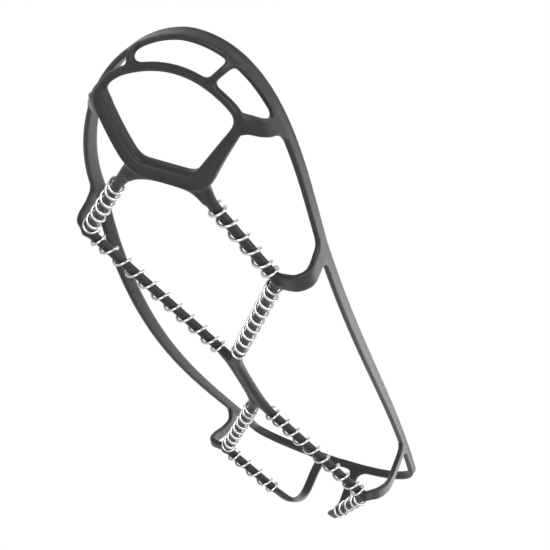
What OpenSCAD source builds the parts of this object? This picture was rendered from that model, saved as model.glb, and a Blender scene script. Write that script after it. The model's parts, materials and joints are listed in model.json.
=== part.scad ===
// Pull-on ice cleat: a moulded rubber sling with steel coils wound on the cords that cross
// under the foot. The toe points to -Y, the ground is at z = 0.

/* [Plan of the net] */
// Front face of the rim to the start of the front coils, along the foot
toe_reach = 60; // [56:0.5:68]
// Start of the front coils to the wide corners of the forefoot diamond, along the foot
forefoot_front = 38; // [34:0.5:42]
// Wide corners of the forefoot diamond to the arch bridge, along the foot
forefoot_rear = 73; // [62:0.5:84]
// Length of the arch bridge
bridge_length = 31; // [26:0.5:42]
// Arch bridge to the wide corners of the heel diamond, along the foot
heel_front = 65; // [56:0.5:74]
// Wide corners of the heel diamond to the rear edge of the heel, along the foot
heel_rear = 30.5; // [27:0.5:35]
// Rear edge of the heel to the back face of the rim
heel_overhang = 30; // [26:0.5:34]
// Distance between the two front coils where they start
leg_spread = 42.5; // [38:0.5:48]
// Width of the forefoot diamond
ball_spread = 91.5; // [84:0.5:96]
// Width of the heel diamond
heel_spread = 79.5; // [72:0.5:84]
// Distance between the two rear cords at the rear edge of the heel
heel_edge_spread = 38; // [32:0.5:42]
// Sideways place of the forefoot diamond, as it lies on a right foot
ball_shift = -4.5; // [-5:0.5:0]
// Sideways place of the heel diamond, as it lies on a right foot
heel_shift = 4.75; // [0:0.25:5]
// Sideways place of the front end of the arch bridge
bridge_front_shift = -0.75; // [-3:0.25:3]
// Sideways place of the rear end of the arch bridge
bridge_rear_shift = 2; // [-3:0.25:3]
// Sideways reach of the toe end, which follows the curve of a right foot
toe_lean = 19; // [0:0.5:20]

/* [Coils] */
// Diameter of the steel wire
wire_d = 1.2; // [1:0.05:1.4]
// Outer diameter of a coil
coil_od = 7.4; // [7.2:0.05:8]
// Spacing of the turns along a cord
coil_pitch = 7.7; // [6:0.1:9]
// Spacing of the first and the last turn of a coil, which are wound closer
end_pitch = 2.8; // [2.4:0.1:4]
// Depth of the flat that the ground wears on the bottom of each turn
wear_flat = 0.12; // [0.08:0.01:0.2]

/* [Cords and bridge] */
// Diameter of a rubber cord inside its coil
cord_d = 4.2; // [3.6:0.05:4.3]
// Diameter of the round corner where two cords and an arm meet
corner_d = 5.6; // [4.8:0.1:6]
// Width of the arch bridge
bridge_w = 7; // [6:0.25:9]
// Thickness of the arch bridge
bridge_t = 4.2; // [3.6:0.1:5]
// Length of the stubs at the ends of the bridge, which the cords grow from
stub_length = 8; // [7.5:0.25:10]

/* [Toe ring] */
// Distance between the rear corners of the ring
ring_rear_spread = 28.5; // [27:0.5:32]
// Sideways place of the rear corners on the ring's middle line
ring_rear_shift = 3; // [1:0.25:4]
// Distance between the wide corners of the ring
ring_corner_spread = 63.5; // [58:0.5:66]
// Rear bar of the ring to the start of the front coils
ring_leg = 11.25; // [9:0.25:13]
// Length of the side bars of the ring, along the foot
ring_side = 27.5; // [24:0.5:30]
// How far the front bar bows forward of the wide corners
ring_bow = 10.25; // [9:0.25:12]
// Rounding of the ring's corners
ring_round = 6; // [4:0.25:6.5]
// Sideways place of the ring on the middle line of the toe
ring_shift = 0.25; // [-1:0.25:2]
// How far the outer corner of the ring lies ahead of the middle, and the inner one behind it
ring_skew = 2; // [0:0.25:3]
// Width of the ring's rear bar
ring_rear_w = 8.2; // [7:0.1:9]
// Width of the ring's front bar
ring_front_w = 3.4; // [3:0.1:4.4]
// Thickness of the ring's rear bar
ring_rear_t = 4; // [3.6:0.1:4.6]
// Thickness of the ring's front bar
ring_front_t = 3.2; // [2.8:0.1:3.8]
// Width of the raised lips along the edges of the rear bar, which narrow with the bars
ring_lip = 1.6; // [1.2:0.1:2]
// Depth of the shallow channel between the lips
ring_groove = 0.7; // [0.4:0.1:1]
// Diameter of a leg where it leaves the ring
leg_d = 6; // [5:0.1:6.4]
// Height that the front of the ring rises off the ground with the toe
toe_spring = 16.5; // [12:0.5:20]

/* [Rim] */
// Width of the rim across the ball, between the middles of the band
rim_ball_width = 105.5; // [104:0.5:116]
// Width of the rim across the heel, between the middles of the band
rim_heel_width = 93; // [90:0.5:97]
// Length of the rounded toe end of the rim
rim_toe_round = 90; // [84:0.5:96]
// How far the outer side of the toe is drawn in
rim_toe_draw = 2.8; // [0:0.1:4]
// Length of the rounded heel end of the rim
rim_heel_round = 20; // [18:0.5:26]
// Height of the middle of the band at the toe
rim_toe_rise = 27.5; // [26:0.5:34]
// Height of the middle of the band at the ball
rim_ball_rise = 21; // [20:0.5:28]
// Height of the middle of the band at the heel
rim_heel_rise = 43; // [40:0.5:50]
// How much lower the outer side of the band sits at the waist
waist_drop = 17; // [0:0.5:20]
// How much further out the outer side of the band sits at the waist
waist_out = 4; // [0:0.5:6]
// Height of the band's section at the toe
rim_toe_h = 6.6; // [5:0.1:7.4]
// Thickness of the band's section at the toe
rim_toe_t = 2.4; // [2.2:0.1:3.2]
// How far the band leans in over the toe, in degrees
rim_toe_lean = 15; // [0:1:20]
// Height of the band's section at the heel
rim_heel_h = 4.4; // [3.6:0.1:6]
// Thickness of the band's section at the heel
rim_heel_t = 2.8; // [2.4:0.1:3.4]
// Rounding of the band's inner edges
rim_edge = 0.4; // [0.2:0.05:0.6]
// Rounding of the band's outer edges
rim_crown = 1.1; // [0.6:0.05:1.4]

/* [Webs and arms] */
// Thickness of the webs, struts, arms and risers
web_t = 2.8; // [2.2:0.1:3.2]
// Width of a wide toe web where it runs into the rim
wide_web_flare = 12; // [9:0.5:16]
// Width of a toe strut where it runs into the rim
strut_flare = 7; // [5:0.25:9]
// Width of a forefoot arm where it leaves the corner
fore_arm_w = 9.5; // [7:0.25:11]
// Width of a forefoot arm where it runs into the rim
fore_arm_flare = 20; // [15:0.5:26]
// Width of a heel arm where it leaves the corner
heel_arm_w = 7.5; // [5:0.25:9]
// Width of a heel arm where it runs into the rim
heel_arm_flare = 11; // [9:0.5:18]
// How far a forefoot arm stands out from the rim at its bend
fore_arm_bulge = 2; // [1:0.25:6]
// How far a heel arm stands out from the rim at its bend
heel_arm_bulge = 5.5; // [4:0.25:9]
// How far ahead of its corner a heel arm leaves the net
heel_arm_lead = 2; // [0:0.25:3]
// Width of a heel riser where it runs into the rim
riser_flare = 12; // [8:0.5:16]
// Distance between the heel risers at the rim
riser_spread = 22; // [16:0.5:30]

/* [Fit] */
// Line between two limbs of the moulding
limb_gap = 0.1; // [0.05:0.05:0.2]
// Room between the end of a coil and what stops it
coil_end_gap = 0.6; // [0.4:0.1:1]

/* [Hidden] */
$fn = 48;

RUBBER = "#2f3033";
STEEL = "silver";
LEFT = -1;
RIGHT = 1;
UP = [0, 0, 1];
step = 0.01;

// Stations along the foot, with the origin under the middle of the part
overall_length = toe_reach + forefoot_front + forefoot_rear + bridge_length
    + heel_front + heel_rear + heel_overhang;
y_toe = -overall_length / 2;
y_leg = y_toe + toe_reach;
y_ball = y_leg + forefoot_front;
y_bridge_front = y_ball + forefoot_rear;
y_bridge_rear = y_bridge_front + bridge_length;
y_heel = y_bridge_rear + heel_front;
y_heel_edge = y_heel + heel_rear;
y_back = y_heel_edge + heel_overhang;

// A six-sided wire reaches its apothem at the bottom of a turn, and is worn flat there
wire_sides = 6;
coil_r = (coil_od - wire_d) / 2;
wire_apothem = wire_d / 2 * cos(180 / wire_sides);
net_z = coil_r + wire_apothem - wear_flat;

function unit(v) = v / norm(v);
function mix(a, b, t) = a + (b - a) * t;
function clamp01(t) = min(1, max(0, t));
function smooth(t) = let (c = clamp01(t)) c * c * (3 - 2 * c);
function join_rows(rows) = [for (row = rows) each row];
function bezier(a, b, c, d, t) =
    a * pow(1 - t, 3) + 3 * b * t * pow(1 - t, 2) + 3 * c * t * t * (1 - t) + d * pow(t, 3);

// Sideways place of the middle line, which bends inwards ahead of the ball
function lean(y) = y < y_ball ? toe_lean * pow((y_ball - y) / (y_ball - y_toe), 2) : 0;

// Corners of the net, each at the height of the coils' axes
function leg_end(side) = [side * leg_spread / 2 + lean(y_leg), y_leg, net_z];
function ball_corner(side) = [side * ball_spread / 2 + ball_shift, y_ball, net_z];
bridge_front = [bridge_front_shift, y_bridge_front, net_z];
bridge_rear = [bridge_rear_shift, y_bridge_rear, net_z];
function heel_corner(side) = [side * heel_spread / 2 + heel_shift, y_heel, net_z];
function heel_edge(side) = [side * heel_edge_spread / 2 + heel_shift, y_heel_edge, net_z];
function along(a, b, d) = a + unit(b - a) * d;

// A closed tube or bar through rings of points, each ring as long as the first
module skin_of(rings, closed = false) {
    count = len(rings);
    sides = len(rings[0]);
    spans = closed ? count : count - 1;
    walls = [
        for (i = [0 : spans - 1]) for (j = [0 : sides - 1])
            let (k = (j + 1) % sides, a = i * sides, b = (i + 1) % count * sides)
                each [[a + j, b + j, b + k], [a + j, b + k, a + k]]
    ];
    first = [for (j = [1 : sides - 2]) [0, j, j + 1]];
    last_ring = (count - 1) * sides;
    last = [for (j = [1 : sides - 2]) [last_ring, last_ring + j + 1, last_ring + j]];
    polyhedron(join_rows(rings), closed ? walls : concat(walls, first, last));
}

// A curved slab of even thickness about a grid of points. Its first row stands along the given
// normals and its last row stands upright, so that both ends are square to what they meet.
module slab_of(grid, thickness, root_normals) {
    rows = len(grid);
    cols = len(grid[0]);
    function across(i, j) = unit(cross(
        grid[min(rows - 1, i + 1)][j] - grid[max(0, i - 1)][j],
        grid[i][min(cols - 1, j + 1)] - grid[i][max(0, j - 1)]));
    function normal(i, j) = let (n = across(i, j))
        i == 0 ? root_normals[j] * sign(n * root_normals[j])
        : i == rows - 1 ? unit([n.x, n.y, 0])
        : n;
    function at(i, j, k) = k * rows * cols + i * cols + j;
    points = [
        for (side = [1, -1]) for (i = [0 : rows - 1]) for (j = [0 : cols - 1])
            grid[i][j] + normal(i, j) * side * thickness / 2
    ];
    faces_both = [
        for (i = [0 : rows - 2]) for (j = [0 : cols - 2]) each [
            [at(i, j, 0), at(i + 1, j + 1, 0), at(i + 1, j, 0)],
            [at(i, j, 0), at(i, j + 1, 0), at(i + 1, j + 1, 0)],
            [at(i, j, 1), at(i + 1, j, 1), at(i + 1, j + 1, 1)],
            [at(i, j, 1), at(i + 1, j + 1, 1), at(i, j + 1, 1)]
        ]
    ];
    ends = [
        for (j = [0 : cols - 2]) each [
            [at(0, j, 0), at(0, j, 1), at(0, j + 1, 1)],
            [at(0, j, 0), at(0, j + 1, 1), at(0, j + 1, 0)],
            [at(rows - 1, j, 0), at(rows - 1, j + 1, 1), at(rows - 1, j, 1)],
            [at(rows - 1, j, 0), at(rows - 1, j + 1, 0), at(rows - 1, j + 1, 1)]
        ]
    ];
    edges = [
        for (i = [0 : rows - 2]) each [
            [at(i, 0, 0), at(i + 1, 0, 1), at(i, 0, 1)],
            [at(i, 0, 0), at(i + 1, 0, 0), at(i + 1, 0, 1)],
            [at(i, cols - 1, 0), at(i, cols - 1, 1), at(i + 1, cols - 1, 1)],
            [at(i, cols - 1, 0), at(i + 1, cols - 1, 1), at(i + 1, cols - 1, 0)]
        ]
    ];
    polyhedron(points, concat(faces_both, ends, edges));
}

// Grid of a web that leaves the row root, bends, and runs into the row tip
web_rows = 8;
function web_grid(root, out, under, tip) = [
    for (i = [0 : web_rows]) [
        for (j = [0 : len(root) - 1]) bezier(root[j], out[j], under[j], tip[j], i / web_rows)
    ]
];

// Rim: u runs from 0 at the toe, past 1 at the ball and 2 at the heel, to 3 at the back
BALL = 1;
HEEL = 2;
BACK = 3;
y_rim_ball = y_toe + rim_toe_t / 2 + rim_toe_round;
y_rim_heel = y_back - rim_heel_t / 2 - rim_heel_round;
function rim_plan(u) =
    u < BALL ? [rim_ball_width / 2 * sin(90 * u), y_rim_ball - rim_toe_round * cos(90 * u)]
    : u < HEEL ? [
        mix(rim_ball_width, rim_heel_width, smooth(u - BALL)) / 2,
        mix(y_rim_ball, y_rim_heel, u - BALL)
    ]
    : [rim_heel_width / 2 * cos(90 * (u - HEEL)), y_rim_heel + rim_heel_round * sin(90 * (u - HEEL))];
function rim_rise(y) = y < y_rim_ball
    ? mix(rim_ball_rise, rim_toe_rise, smooth((y_rim_ball - y) / rim_toe_round))
    : mix(rim_ball_rise, rim_heel_rise, smooth((y - y_rim_ball) / (y_rim_heel - y_rim_ball)));
function outer_share(y, side) =
    side == LEFT ? sin(180 * clamp01((y - y_rim_ball) / (y_back - y_rim_ball))) : 0;
function toe_draw(u, side) = side == LEFT && u < BALL ? rim_toe_draw * sin(180 * u) : 0;
function rim_at(u, side) =
    let (
        plan = rim_plan(u),
        p = plan - unit(plan - [0, y_rim_ball]) * toe_draw(u, side),
        share = outer_share(p.y, side)
    )
    [side * (p.x + waist_out * share) + lean(p.y), p.y, rim_rise(p.y) - waist_drop * share];
function rim_h(u) = mix(rim_toe_h, rim_heel_h, smooth(u - BALL));
function rim_t(u) = mix(rim_toe_t, rim_heel_t, smooth(u - BALL));
function rim_lean(u) = mix(rim_toe_lean, 0, smooth(u - BALL));

// Once round the rim: v runs from 0 at the toe down the right side to the back, and on to the toe
ROUND = 2 * BACK;
function rim_u(v) = let (w = (v + ROUND) % ROUND) w < BACK ? w : ROUND - w;
function rim_side(v) = (v + ROUND) % ROUND < BACK ? RIGHT : LEFT;
function rim_middle(v) = rim_at(rim_u(v), rim_side(v));
function rim_outward(v) = let (t = rim_middle(v + step) - rim_middle(v - step)) unit([t.y, -t.x, 0]);
function rim_section(v) =
    let (
        p = rim_middle(v),
        n = rim_outward(v),
        lean_angle = rim_lean(rim_u(v)),
        outwards = n * cos(lean_angle) + UP * sin(lean_angle),
        upwards = UP * cos(lean_angle) - n * sin(lean_angle),
        h = rim_h(rim_u(v)) / 2,
        t = rim_t(rim_u(v)) / 2,
        profile = [
            [-t, h - rim_edge], [-t + rim_edge, h], [t - rim_crown, h], [t, h - rim_crown],
            [t, -h + rim_crown], [t - rim_crown, -h], [-t + rim_edge, -h], [-t, -h + rim_edge]
        ]
    )
    [for (q = profile) p + outwards * q.x + upwards * q.y];

// The band between two places round the rim
toe_band_steps = 24;
side_band_steps = 14;
heel_band_steps = 20;
module rim_band(from, to, steps) {
    color(RUBBER) skin_of([for (i = [0 : steps]) rim_section(mix(from, to, i / steps))]);
}

// Lower edge of the rim, where webs and arms run in, just clear of the band's lowest corner
function rim_foot(u, side) =
    let (
        n = side == RIGHT ? rim_outward(u) : rim_outward(ROUND - u),
        a = rim_lean(u),
        drop = rim_h(u) / 2 * cos(a) + (rim_t(u) / 2 - rim_edge) * sin(a) + limb_gap
    )
    rim_at(u, side) + n * (rim_h(u) / 2 * sin(a)) - UP * drop;
function rim_foot_row(middle_u, width, side, count) = [
    for (j = [0 : count - 1])
        let (
            speed = norm(rim_at(middle_u + step, side) - rim_at(middle_u - step, side)) / (2 * step),
            u = middle_u + (j / (count - 1) - 0.5) * width / speed
        )
        rim_foot(u, side)
];

// Toe ring: a five-sided loop with a bowed front bar, which rises with the toe
y_ring_rear = y_leg - ring_leg;
y_ring_corner = y_ring_rear - ring_side;
y_ring_front = y_ring_corner - ring_bow;
spring_curve = 1.7;
function spring_share(y) = max(0, (y_leg - y) / (y_leg - y_ring_front));
function spring_rise(y) = toe_spring * pow(spring_share(y), spring_curve);
left_reach = 0.7;
right_reach = 0.8;
front_steps = 12;
ring_front = [
    for (k = [-front_steps : front_steps])
        let (share = (k < 0 ? left_reach : right_reach) * k / front_steps)
            [share * ring_corner_spread / 2, y_ring_corner - ring_bow * (1 - share * share)]
];
front_count = len(ring_front);
left_corner_back = 0.7;
ring_corners = [
    ring_front[front_count - 1],
    [ring_corner_spread / 2, y_ring_corner],
    [ring_rear_shift + ring_rear_spread / 2, y_ring_rear],
    [ring_rear_shift - ring_rear_spread / 2, y_ring_rear],
    [-ring_corner_spread / 2, y_ring_corner + left_corner_back],
    ring_front[0]
];
corner_count = len(ring_corners) - 2;
corner_steps = 6;
left_round_share = 1.5;
function corner_round(i) = i == corner_count ? left_round_share * ring_round : ring_round;
ring_rounds = [
    for (i = [1 : corner_count])
        let (
            here = ring_corners[i],
            before = along(here, ring_corners[i - 1], corner_round(i)),
            after = along(here, ring_corners[i + 1], corner_round(i))
        )
        for (k = [0 : corner_steps])
            let (t = k / corner_steps)
                before * pow(1 - t, 2) + here * 2 * t * (1 - t) + after * t * t
];
ring_plan = concat(ring_front, ring_rounds);
function ring_xy(i) = ring_plan[(i + len(ring_plan)) % len(ring_plan)];
function ring_middle(i) =
    let (p = ring_xy(i), y = p.y + ring_skew * p.x / (ring_corner_spread / 2))
        [p.x + ring_shift + lean(y), y, net_z + spring_rise(y)];

// The left side bar is broad almost from its front end, and the right one broadens slowly
left_widening = 6;
left_wide_share = 0.75;
right_taper = 2;
function left_rear_share(back) =
    mix(clamp01(back / ring_side), smooth(back / left_widening), left_wide_share);
function right_rear_share(y) =
    pow(clamp01((y - y_ring_front) / (y_ring_rear - y_ring_front)), right_taper);
function ring_rear_share(i) =
    let (p = ring_xy(i)) p.x < 0 ? left_rear_share(p.y - y_ring_corner) : right_rear_share(p.y);
function ring_w(i) = mix(ring_front_w, ring_rear_w, ring_rear_share(i));
function ring_t(i) = mix(ring_front_t, ring_rear_t, ring_rear_share(i));
function ring_slope(i) =
    let (y = ring_xy(i).y) (spring_rise(y + step) - spring_rise(y - step)) / (2 * step);
function ring_up(i) = unit([0, -ring_slope(i), 1]);
function ring_outward(i) =
    let (t = ring_middle(i + 1) - ring_middle(i - 1), n = unit([t.y, -t.x]))
        unit([n.x, n.y, ring_slope(i) * n.y]);
function ring_section(i) =
    let (
        w = ring_w(i) / 2,
        t = ring_t(i) / 2,
        lip = ring_lip * ring_w(i) / ring_rear_w,
        edge = lip / 2,
        groove = ring_groove * ring_w(i) / ring_rear_w,
        profile = [
            [-w, t - edge], [-w + edge, t], [w - edge, t], [w, t - edge],
            [w, -t + edge], [w - edge / 2, -t], [w - lip, -t],
            [w - lip - edge / 2, -t + groove], [-w + lip + edge / 2, -t + groove],
            [-w + lip, -t], [-w + edge / 2, -t], [-w, -t + edge]
        ]
    )
    [for (q = profile) ring_middle(i) + ring_outward(i) * q.x + ring_up(i) * q.y];

// Outer edge of the ring, which the webs and struts leave
function ring_edge(i) = ring_middle(i) + ring_outward(i) * (ring_w(i) / 2 + limb_gap);

// A leg grows out of each rear corner of the ring and tapers to the cord
leg_root = ring_rear_w / 2;
module ring_leg_bar(side) {
    start = leg_end(side);
    inwards = unit(start - ball_corner(side));
    turn = atan2(inwards.y, inwards.x);
    translate(start)
        rotate([0, 90, turn])
            cylinder(d1 = cord_d, d2 = leg_d, h = ring_leg + leg_root);
}

module toe_ring() {
    color(RUBBER) {
        skin_of([for (i = [0 : len(ring_plan) - 1]) ring_section(i)], closed = true);
        ring_leg_bar(LEFT);
        ring_leg_bar(RIGHT);
    }
}

// A web from the ring's edge, over the given places of its loop, to the rim
module ring_web(places, middle_u, width, side) {
    root = [for (i = places) ring_edge(i)];
    tip = rim_foot_row(middle_u, width, side, len(places));
    reach = norm(tip[0] - root[0]) / 3;
    out = [for (j = [0 : len(places) - 1]) root[j] + ring_outward(places[j]) * reach];
    under = [for (p = tip) p - UP * reach];
    color(RUBBER) slab_of(web_grid(root, out, under, tip), web_t, [for (i = places) ring_up(i)]);
}

points_per_corner = corner_steps + 1;
corner_middle = corner_steps / 2;
function wide_web_half(side) = side == RIGHT ? 3 : 2;
function wide_web_shift(side) = side == RIGHT ? 0 : -1;
function wide_web_u(side) = side == RIGHT ? 0.545 : 0.5;
strut_half = 1;
strut_u = 0.25;
function wide_corner(side) = side == RIGHT ? 0 : corner_count - 1;
function wide_web_places(side) =
    let (middle = wide_corner(side) * points_per_corner + corner_middle + wide_web_shift(side))
        [for (k = [-wide_web_half(side) : wide_web_half(side)]) front_count + middle + side * k];
function strut_step(side) = side == RIGHT ? 7 : 9;
function strut_places(side) = [
    for (k = [-strut_half : strut_half]) front_steps + side * (strut_step(side) + k)
];
module toe_web(side) {
    ring_web(wide_web_places(side), wide_web_u(side), wide_web_flare, side);
}
module toe_strut(side) {
    ring_web(strut_places(side), strut_u, strut_flare, side);
}

// A straight cord between two points
module cord(from, to) {
    reach = to - from;
    translate(from)
        rotate([0, 90, atan2(reach.y, reach.x)])
            cylinder(d = cord_d, h = norm(reach));
}

module forefoot_cord_front(side) {
    corner = ball_corner(side);
    color(RUBBER) cord(leg_end(side), along(corner, leg_end(side), corner_d / 2 + limb_gap));
}
module forefoot_cord_rear(side) {
    corner = ball_corner(side);
    color(RUBBER) {
        translate(corner) sphere(d = corner_d);
        cord(corner, along(bridge_front, corner, stub_length));
    }
}
module heel_cord_front(side) {
    corner = heel_corner(side);
    color(RUBBER) {
        translate(corner) sphere(d = corner_d);
        cord(corner, along(bridge_rear, corner, stub_length));
    }
}
module heel_cord_rear(side) {
    corner = heel_corner(side);
    color(RUBBER) cord(along(corner, heel_edge(side), corner_d / 2 + limb_gap), heel_edge(side));
}

// Arch bridge: a flat bar whose ends split into the stubs of the four cords
module bridge_stub(end, towards) {
    reach = towards - end;
    translate([end.x, end.y])
        rotate(atan2(reach.y, reach.x))
            translate([0, -cord_d / 2])
                square([stub_length, cord_d]);
}
module arch_bridge() {
    color(RUBBER)
        translate([0, 0, net_z - bridge_t / 2])
            linear_extrude(bridge_t) {
                polygon([
                    for (end = [bridge_front, bridge_rear]) [end.x + bridge_w / 2, end.y],
                    for (end = [bridge_rear, bridge_front]) [end.x - bridge_w / 2, end.y]
                ]);
                for (side = [LEFT, RIGHT]) {
                    bridge_stub(bridge_front, ball_corner(side));
                    bridge_stub(bridge_rear, heel_corner(side));
                }
            }
}

// A row of points across an arm, along the foot
arm_columns = 5;
arm_normals = [for (j = [1 : arm_columns]) UP];
function arm_row(middle, width, direction) = [
    for (j = [0 : arm_columns - 1]) middle + direction * (j / (arm_columns - 1) - 0.5) * width
];

// An arm leaves a corner of the net sideways, bends up and runs into the rim
arm_draw = 0.5;
module arm(corner, side, width, flare, bulge, rim_place, bend_y) {
    outwards = [side, 0, 0];
    backwards = [0, 1, 0];
    foot = rim_foot(rim_place, side);
    root_middle = corner + outwards * (corner_d / 2 + limb_gap);
    bend = [foot.x + side * bulge, bend_y, net_z];
    root = arm_row(root_middle, width, backwards);
    out = arm_row(bend, width, backwards);
    tip = rim_foot_row(rim_place, flare, side, arm_columns);
    drop = (foot.z - net_z) / 2;
    under = [
        for (j = [0 : arm_columns - 1])
            mix(tip[j], foot, arm_draw) + outwards * bulge / 2 - UP * drop
    ];
    color(RUBBER) slab_of(web_grid(root, out, under, tip), web_t, arm_normals);
}
fore_arm_place = 1.02;
heel_arm_place = 1.88;
fore_arm_lean = 0.4;
module forefoot_arm(side) {
    bend_y = mix(y_ball, rim_foot(fore_arm_place, side).y, fore_arm_lean);
    arm(ball_corner(side), side, fore_arm_w, fore_arm_flare, fore_arm_bulge, fore_arm_place, bend_y);
}
module heel_arm(side) {
    start = heel_corner(side) - [0, heel_arm_lead, 0];
    arm(start, side, heel_arm_w, heel_arm_flare, heel_arm_bulge, heel_arm_place, start.y);
}

// A riser carries a rear cord round the edge of the heel and up to the rim
riser_bow = 0.65;
riser_draw = 0.6;
function riser_place(x) = HEEL + acos(x / (rim_heel_width / 2)) / 90;
module heel_riser(side) {
    edge = heel_edge(side);
    forwards = unit(edge - heel_corner(side));
    across = side * [forwards.y, -forwards.x, 0];
    place = riser_place(riser_spread / 2);
    foot = rim_foot(place, side);
    root = arm_row(edge + forwards * limb_gap, cord_d, -across);
    out = arm_row(edge + forwards * heel_overhang * riser_bow, cord_d, -across);
    tip = rim_foot_row(place, riser_flare, side, arm_columns);
    drop = (foot.z - net_z) / 2;
    under = [for (j = [0 : arm_columns - 1]) mix(tip[j], foot, riser_draw) - UP * drop];
    color(RUBBER) slab_of(web_grid(root, out, under, tip), web_t, arm_normals);
}

// Coil: one unbroken wire, with eight rings of six points to a turn. Two of the rings lie
// either side of the bottom of the turn, so that the worn flat is a true plane.
rings_per_turn = 8;
flat_half_angle = 5;
ring_angle = (360 - 2 * flat_half_angle) / (rings_per_turn - 1);
first_ring = 3;
function ring_turn(i) =
    floor(i / rings_per_turn) * 360 - 90 + flat_half_angle + (i % rings_per_turn) * ring_angle;
function coil_run(from, to) = norm(to - from) - wire_d - 2 * coil_end_gap;
close_turns = 2;
function coil_turns(run) =
    close_turns + max(1, round((run - close_turns * end_pitch) / coil_pitch));
function coil_last(turns) = first_ring + turns * rings_per_turn + 1;
function coil_advance(turn, total, pitch) =
    turn < 1 ? turn * end_pitch
    : turn < total - 1 ? end_pitch + (turn - 1) * pitch
    : end_pitch + (total - close_turns) * pitch + (turn - total + 1) * end_pitch;
function coil_point(from, to, i) =
    let (
        axis = unit(to - from),
        across = cross(axis, UP),
        run = coil_run(from, to),
        turns = coil_turns(run),
        total = (ring_turn(coil_last(turns)) - ring_turn(first_ring)) / 360,
        pitch = (run - close_turns * end_pitch) / (total - close_turns),
        angle = ring_turn(i),
        advance = coil_advance((angle - ring_turn(first_ring)) / 360, total, pitch)
    )
    from + axis * (coil_end_gap + wire_d / 2 + advance)
        + (across * cos(angle) + UP * sin(angle)) * coil_r;
function coil_ring(from, to, i, tangent, centre) =
    let (
        angle = ring_turn(i),
        across = cross(unit(to - from), UP),
        outwards = across * cos(angle) + UP * sin(angle),
        radial = unit(outwards - tangent * (outwards * tangent)),
        binormal = cross(tangent, radial)
    )
    [
        for (k = [0 : wire_sides - 1])
            let (
                turn = 180 / wire_sides + 360 / wire_sides * k,
                p = centre + (radial * cos(turn) + binormal * sin(turn)) * wire_d / 2
            )
            [p.x, p.y, max(0, p.z)]
    ];
function coil_points(from, to) = [
    for (i = [first_ring : coil_last(coil_turns(coil_run(from, to)))]) coil_point(from, to, i)
];

// Least gap between turns of one coil, measured on the points of its middle line
function least_gap(points) = min([
    for (i = [0 : len(points) - 1])
        for (j = [i + floor(rings_per_turn / 2) : 1 : len(points) - 1]) norm(points[i] - points[j])
]) - wire_d;

module coil(from, to, name) {
    points = coil_points(from, to);
    count = len(points);
    tangents = [
        for (i = [0 : count - 1])
            unit(points[min(count - 1, i + 1)] - points[max(0, i - 1)])
    ];
    straight = wire_d;
    rings = [
        coil_ring(from, to, first_ring, tangents[0], points[0] - tangents[0] * straight),
        for (i = [0 : count - 1]) coil_ring(from, to, first_ring + i, tangents[i], points[i]),
        coil_ring(from, to, first_ring + count - 1, tangents[count - 1],
            points[count - 1] + tangents[count - 1] * straight)
    ];
    echo(coil = name, turns = coil_turns(coil_run(from, to)), least_gap = least_gap(points),
        middle = (from + to) / 2, axis = unit(to - from));
    color(STEEL) skin_of(rings);
}

// Each coil lies between the points that stop it
module coil_forefoot_front(side) {
    corner = ball_corner(side);
    coil(leg_end(side), along(corner, leg_end(side), corner_d / 2), "forefoot front");
}
module coil_forefoot_rear(side) {
    corner = ball_corner(side);
    start = along(corner, bridge_front, corner_d / 2);
    coil(start, along(bridge_front, corner, stub_length), "forefoot rear");
}
module coil_heel_front(side) {
    corner = heel_corner(side);
    start = along(bridge_rear, corner, stub_length);
    coil(start, along(corner, bridge_rear, corner_d / 2), "heel front");
}
module coil_heel_rear(side) {
    corner = heel_corner(side);
    coil(along(corner, heel_edge(side), corner_d / 2), heel_edge(side), "heel rear");
}

rim_band(-BALL, BALL, toe_band_steps);  // rim_toe
rim_band(BALL, HEEL, side_band_steps);  // rim_right
rim_band(HEEL, ROUND - HEEL, heel_band_steps);  // rim_heel
rim_band(ROUND - HEEL, ROUND - BALL, side_band_steps);  // rim_left
toe_ring();
toe_web(LEFT);  // toe_web_left
toe_web(RIGHT);  // toe_web_right
toe_strut(LEFT);  // toe_strut_left
toe_strut(RIGHT);  // toe_strut_right
forefoot_cord_front(LEFT);  // forefoot_cord_front_left
forefoot_cord_front(RIGHT);  // forefoot_cord_front_right
forefoot_cord_rear(LEFT);  // forefoot_cord_rear_left
forefoot_cord_rear(RIGHT);  // forefoot_cord_rear_right
forefoot_arm(LEFT);  // forefoot_arm_left
forefoot_arm(RIGHT);  // forefoot_arm_right
arch_bridge();
heel_cord_front(LEFT);  // heel_cord_front_left
heel_cord_front(RIGHT);  // heel_cord_front_right
heel_cord_rear(LEFT);  // heel_cord_rear_left
heel_cord_rear(RIGHT);  // heel_cord_rear_right
heel_arm(LEFT);  // heel_arm_left
heel_arm(RIGHT);  // heel_arm_right
heel_riser(LEFT);  // heel_riser_left
heel_riser(RIGHT);  // heel_riser_right
coil_forefoot_front(LEFT);  // coil_forefoot_front_left
coil_forefoot_front(RIGHT);  // coil_forefoot_front_right
coil_forefoot_rear(LEFT);  // coil_forefoot_rear_left
coil_forefoot_rear(RIGHT);  // coil_forefoot_rear_right
coil_heel_front(LEFT);  // coil_heel_front_left
coil_heel_front(RIGHT);  // coil_heel_front_right
coil_heel_rear(LEFT);  // coil_heel_rear_left
coil_heel_rear(RIGHT);  // coil_heel_rear_right
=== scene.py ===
# %% [markdown]
# # A pull-on ice cleat
# The cleat is one moulded rubber sling that is worn under the foot, and eight steel coils that spin
# on its cords and bite the ice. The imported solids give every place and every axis. This lesson
# dresses them: it models the rubber as one smooth moulding and each coil as one round wire.

# %% Load the frame
import json
import math

import bpy
import numpy as np
from mathutils import Matrix, Vector


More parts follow.
